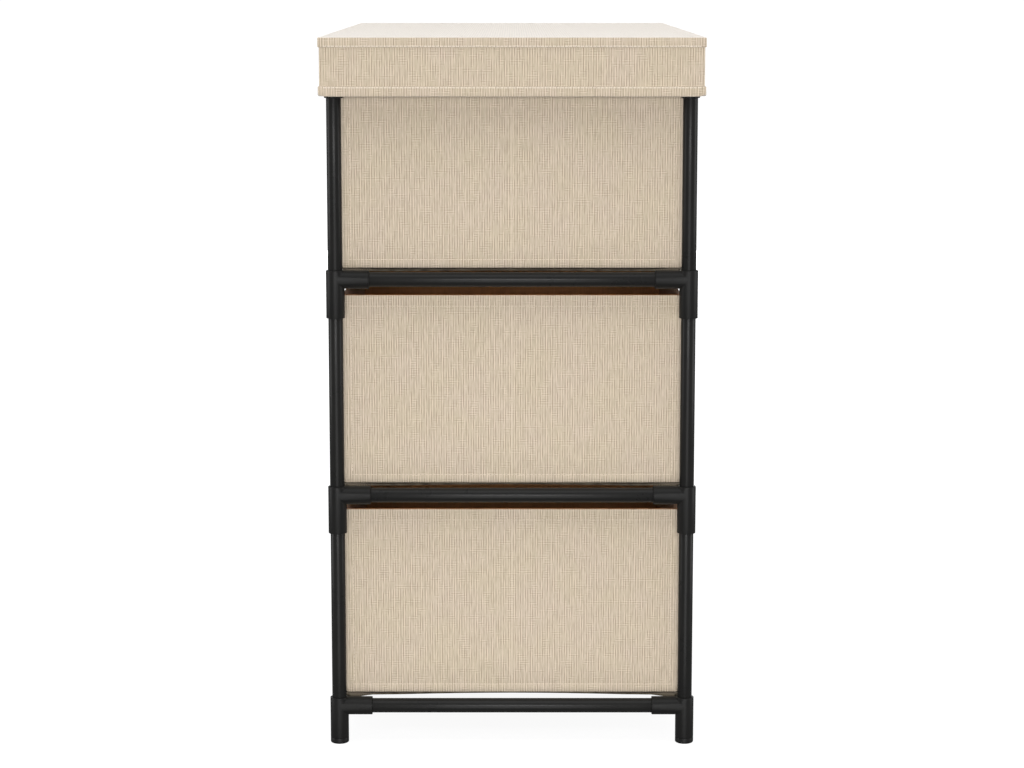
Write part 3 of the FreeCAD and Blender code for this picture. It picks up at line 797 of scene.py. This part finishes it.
pull_length, pull_width, pull_thick = 120 * mm, 24 * mm, 2 * mm
pull_tab, pull_stand, pull_drop = 16 * mm, 14 * mm, 60 * mm
pull_seam, pull_seam_depth, pull_seam_in = 8 * mm, 0.22 * mm, 2.5 * mm
pull_edge_round, pull_end_round = 0.8 * mm, 0.3 * mm


def pull_strap(name):
    """The folded strap: flat sewn ends and a bow between them, its long edges rounded."""
    bpy.ops.mesh.primitive_cube_add(
        size=1, location=(0, -pull_thick / 2, 0), scale=(pull_length, pull_thick, pull_width))
    strap = open_for_shaping(name)
    choose("edges", lambda edge: abs(edge.verts[0].co.x - edge.verts[1].co.x) > mm)
    bpy.ops.mesh.bevel(offset=pull_edge_round, segments=3, affect="EDGES")
    choose("edges", lambda edge: at(edge, 0, edge.verts[0].co.x)
           and abs(abs(edge.verts[0].co.x) - pull_length / 2) < 0.01 * mm
           and len(edge.link_faces) == 2)
    bpy.ops.mesh.bevel(offset=pull_end_round, segments=2, affect="EDGES")
    cut_across(0, [pull_length / 2 * step / 16 for step in range(-15, 16)])
    cut_across(2, [z * mm for z in (-9, -8, -7, -3, 3, 7, 8, 9)])
    bpy.ops.object.mode_set(mode="OBJECT")
    bow_end = pull_length / 2 - pull_tab
    for point in strap.data.vertices:
        share = min(1, abs(point.co.x) / bow_end)
        rise = (1 - share * share) ** 1.15 * (pull_stand - pull_thick)
        point.co.y -= rise
        outside = point.co.y < -rise - pull_thick / 2
        if outside and abs(abs(point.co.z) - pull_seam) < 0.3 * mm:
            point.co.y += pull_seam_depth
    lay_weave(strap)
    strap.data.materials.append(beige_cloth)
    close_shape(strap, 50)
    rows = []
    front = -pull_thick + 0.08 * mm
    for sign in (-1, 1):
        near = (pull_length / 2 - pull_tab + pull_seam_in) * sign
        far = (pull_length / 2 - pull_seam_in) * sign
        for z in (-pull_seam, pull_seam):
            rows.append(((near, front + 0.14 * mm, z), (far, front + 0.14 * mm, z), (0, -1, 0)))
        for x in (near, far):
            rows.append(((x, front, -pull_seam), (x, front, pull_seam), (0, -1, 0)))
    return strap, sew(name + "_stitching", rows, beige_thread)


strap_model, strap_sewing = pull_strap("pull_strap")
spent_models = [strap_model, strap_sewing]
for tier, (base, rim) in drawer_places.items():
    if tier != "middle":
        box_model, box_sewing = outer_cloth("drawer_model", rim - base, tier != "top")
        lining_model = inner_lining("lining_model", rim - base)
        spent_models += [box_model, box_sewing, lining_model]
    for number, (column, x) in enumerate(drawer_centres.items()):
        body = f"drawer_{tier}_{column}"
        roll = (roll_places[tier][number], number * 0.31 + base)
        front = (x, -drawer_half[1], rim - pull_drop)
        for model, ending, node, slot in (
                (box_model, "outer_cloth", "cloth", "drawer_cloth"),
                (box_sewing, "stitching", "cloth", "drawer_cloth"),
                (lining_model, "inner_lining", "lining", "drawer_lining"),
                (strap_model, "pull_strap", "pull", "pull_cloth"),
                (strap_sewing, "pull_stitching", "pull", "pull_cloth")):
            on_front = "pull" in ending
            piece = copy_of(model, f"{body}_{ending}", front if on_front else (x, 0, base))
            if "stitching" not in ending:
                slide_weave(piece, *roll)
            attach(piece, body)
            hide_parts(f"{body}_{node}")
        for node in ("wall_boards", "base_board"):
            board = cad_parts[f"{body}_{node}"]
            board.data.materials.clear()
            board.data.materials.append(grey_card)
for model in spent_models:
    bpy.data.objects.remove(model)


# Cover. A pressed board lies on the top connectors under a cloth with a stiff doubled skirt. A
# band is sewn along the cloth's top edge and a hem along the skirt's lower edge, one row each.

cover_half = (274 * mm, 144 * mm)
cover_top, skirt_base = 545 * mm, 501.2 * mm
skirt_thick, top_cloth = 2.4 * mm, 1.2 * mm
band_out = 1.0 * mm
top_band, hem_height = 7.3 * mm, 7.5 * mm
skirt_corner, band_corner, skirt_edge = 1.5 * mm, 1.6 * mm, 0.6 * mm
corner_lift, lift_reach, lift_height = 1.8 * mm, 6 * mm, 3 * mm
skirt_wave, top_dip = 0.3 * mm, 0.12 * mm
stitch_row_in, stitch_row_end = 0.9 * mm, 3 * mm
cover_steps, band_steps = 14, 16
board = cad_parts["cover_board"]
board.data.materials.clear()
board.data.materials.append(card_finish("pressed_board", (0.42, 0.31, 0.20, 1)))
cover_cloth = woven_finish("cover_cloth", (0.605, 0.515, 0.405, 1), (0.35, 0.285, 0.21, 1),
                           pitch=1.9 * mm, depth=0.11 * mm, weft=0.55, sheen=0.74)


def lift_corners(piece):
    """The lower edge is turned up a little where the skirt's panels meet at a corner."""
    for point in piece.data.vertices:
        x, y, z = point.co
        from_corner = max(cover_half[0] + band_out - abs(x), cover_half[1] + band_out - abs(y))
        near = max(0, 1 - from_corner / lift_reach)
        low = max(0, 1 - (z - skirt_base) / lift_height)
        point.co.z += corner_lift * near * near * low


def skirt_loop(name, base, height, lower_round, upper_round):
    """A band round the skirt, one millimetre proud of it."""
    bpy.ops.mesh.primitive_cube_add(
        size=1, location=(0, 0, base + height / 2),
        scale=((cover_half[0] + band_out) * 2, (cover_half[1] + band_out) * 2, height))
    loop = open_for_shaping(name)
    choose("edges", lambda edge: abs(edge.verts[0].co.z - edge.verts[1].co.z) > mm)
    bpy.ops.mesh.bevel(offset=band_corner, segments=4, affect="EDGES")
    choose("faces", lambda face: abs(face.normal.z) > 0.9)
    bpy.ops.mesh.delete(type="FACE")
    for axis, half in enumerate(cover_half):
        cut_across(axis, [half * step / band_steps for step in range(1 - band_steps, band_steps)]
                   + [(half + band_out - place * mm) * sign for place in (2, 4, 6)
                      for sign in (-1, 1)])
    bpy.ops.object.mode_set(mode="OBJECT")
    give_wall(loop, band_out)
    bpy.ops.object.mode_set(mode="EDIT")
    for place, rounding in ((base, lower_round), (base + height, upper_round)):
        choose("edges", lambda edge: at(edge, 2, place) and all(
            abs(point.co.x) > cover_half[0] + 0.3 * mm
            or abs(point.co.y) > cover_half[1] + 0.3 * mm for point in edge.verts))
        bpy.ops.mesh.bevel(offset=rounding, segments=3, affect="EDGES")
    bpy.ops.object.mode_set(mode="OBJECT")
    return loop


bpy.ops.mesh.primitive_cube_add(
    size=1, location=(0, 0, (cover_top + skirt_base) / 2),
    scale=(cover_half[0] * 2, cover_half[1] * 2, cover_top - skirt_base))
cover = open_for_shaping("cover_cloth_and_skirt")
choose("faces", lambda face: at(face, 2, skirt_base))
bpy.ops.mesh.inset(thickness=skirt_thick)
pull_out(z=cover_top - skirt_base - top_cloth)
choose("edges", lambda edge: abs(edge.verts[0].co.z - edge.verts[1].co.z) > mm
       and abs(edge.verts[0].co.x) > cover_half[0] - mm)
bpy.ops.mesh.bevel(offset=skirt_corner, segments=4, affect="EDGES")
choose("edges", lambda edge: at(edge, 2, skirt_base) and len(edge.link_faces) == 2
       and any(abs(face.normal.z) < 0.1 for face in edge.link_faces))
bpy.ops.mesh.bevel(offset=skirt_edge, segments=2, affect="EDGES")
for axis, half in enumerate(cover_half):
    cut_across(axis, [half * step / cover_steps for step in range(1 - cover_steps, cover_steps)]
               + [(half - place * mm) * sign for place in (3, 5) for sign in (-1, 1)])
cut_across(2, [skirt_base + step * 7 * mm for step in range(1, 6)])
bpy.ops.object.mode_set(mode="OBJECT")
for point in cover.data.vertices:
    x, y, z = point.co
    wave = noise.noise(Vector((x * 9, y * 9, z * 14)))
    wall_x, wall_y = cover_half[0] - abs(x) < 3 * mm, cover_half[1] - abs(y) < 3 * mm
    if skirt_base + 8 * mm < z < cover_top - 8 * mm and wall_x != wall_y:
        push = skirt_wave * wave
        point.co += Vector((math.copysign(push, x) if wall_x else 0,
                            math.copysign(push, y) if wall_y else 0, 0))
    if z > cover_top - 0.1 * mm and not wall_x and not wall_y:
        point.co.z -= top_dip * (0.5 + 0.5 * wave)
lift_corners(cover)
lay_weave(cover)
cover.data.materials.append(cover_cloth)
close_shape(cover, 50)
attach(cover, "frame")
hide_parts("cover_cloth")

band = skirt_loop("cover_band_along_top", cover_top - top_band, top_band,
                  lower_round=0.7 * mm, upper_round=0.45 * mm)
hem = skirt_loop("cover_hem", skirt_base, hem_height, lower_round=0.7 * mm, upper_round=0.35 * mm)
lift_corners(hem)
for loop, node in ((band, "cover_top_band"), (hem, "cover_skirt_hem")):
    lay_weave(loop)
    slide_weave(loop, u=0.7 * mm, v=0.21)
    loop.data.materials.append(cover_cloth)
    close_shape(loop, 50)
    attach(loop, "frame")
    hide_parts(node)

out_x, out_y = (half + band_out + 0.02 * mm for half in cover_half)
end_x, end_y = out_x - stitch_row_end, out_y - stitch_row_end
rows = []
for z in (cover_top - top_band + stitch_row_in, skirt_base + hem_height - stitch_row_in):
    for sign in (-1, 1):
        rows.append(((-end_x, out_y * sign, z), (end_x, out_y * sign, z), (0, sign, 0)))
        rows.append(((out_x * sign, -end_y, z), (out_x * sign, end_y, z), (sign, 0, 0)))
sewing = sew("cover_stitching", rows, thread_finish("pale_thread", (0.90, 0.82, 0.72, 1)))
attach(sewing, "frame")
bpy.data.objects.remove(stitch)


# Studio. The cabinet stands on a plain pale floor of milky sheet that is lit from below, so that
# it shows only a faint shadow and the cabinet stands on white, as in the photograph. Large soft
# lights stand on all four sides and hang overhead, and one shines up through the floor's front.

bpy.ops.mesh.primitive_plane_add(size=14)
floor = bpy.context.object
floor.name = floor.data.name = "floor"
milky_sheet, shader = new_finish("milky_sheet")
shader.inputs["Base Color"].default_value = grey(0.14)
shader.inputs["Roughness"].default_value = 0.9
shader.inputs["Emission Color"].default_value = grey(1)
shader.inputs["Emission Strength"].default_value = 0.91
floor.data.materials.append(milky_sheet)
floor.visible_diffuse = floor.visible_glossy = floor.visible_shadow = False
floor.select_set(False)

world = bpy.data.worlds.new("white_room")
world.use_nodes = True
bpy.context.scene.world = world
seen = wire(world, "LightPath", {}).outputs["Is Camera Ray"]
upwards = wire(world, "SeparateXYZ", {0: wire(world, "TexCoord", {}).outputs["Generated"]})
glow = between(world, upwards.outputs[2], low=-0.5, high=0.5, new_low=0.25, new_high=0.45)
room = wire(world, "Background", {"Color": (0.98, 0.99, 1.0, 1), "Strength": glow})
white = wire(world, "Background", {"Color": (1, 1, 1, 1), "Strength": 1.05})
both = wire(world, "MixShader", {0: seen, 1: room.outputs[0], 2: white.outputs[0]})
world.node_tree.links.new(both.outputs[0], world.node_tree.nodes["World Output"].inputs[0])


def softbox(name, place, towards, width, height, power):
    """A large flat light that the camera doesn't see."""
    lamp = bpy.data.lights.new(name, "AREA")
    lamp.shape = "RECTANGLE"
    lamp.size, lamp.size_y, lamp.energy = width, height, power
    stand = bpy.data.objects.new(name, lamp)
    bpy.context.collection.objects.link(stand)
    stand.location = place
    stand.rotation_euler = (Vector(towards) - Vector(place)).to_track_quat("-Z", "Y").to_euler()
    stand.visible_camera = False


cabinet_middle = (0, 0, 0.3)
softbox("front", (3.6, 0, 0.78), cabinet_middle, width=1.5, height=0.45, power=52)
softbox("front_low", (3.0, 0, -0.6), cabinet_middle, width=1.5, height=1.8, power=34)
softbox("left", (0.3, -3.0, 0.45), cabinet_middle, width=1.6, height=1.6, power=34)
softbox("right", (0.3, 3.0, 0.45), cabinet_middle, width=1.6, height=1.6, power=34)
softbox("far_end", (-3.2, 0, 0.2), (0, 0, 0.2), width=1.6, height=0.6, power=32)
overhead = bpy.data.objects.new("overhead", bpy.data.lights.new("overhead", "SUN"))
overhead.data.energy, overhead.data.angle = 2.6, math.radians(75)
overhead.rotation_euler = (0, math.radians(4), 0)
bpy.context.collection.objects.link(overhead)
bpy.context.scene.view_settings.view_transform = "Standard"

lens = bpy.data.cameras.new("camera")
lens.lens = 87.4
lens.sensor_width = 36
lens.shift_y = -0.045
lens.clip_end = 100
looking_down = 8.346
camera = bpy.data.objects.new("camera", lens)
camera.location = (2.135, 0, 0.5923)
camera.rotation_euler = (math.radians(90 - looking_down), 0, math.radians(90))
bpy.context.collection.objects.link(camera)
bpy.context.scene.camera = camera
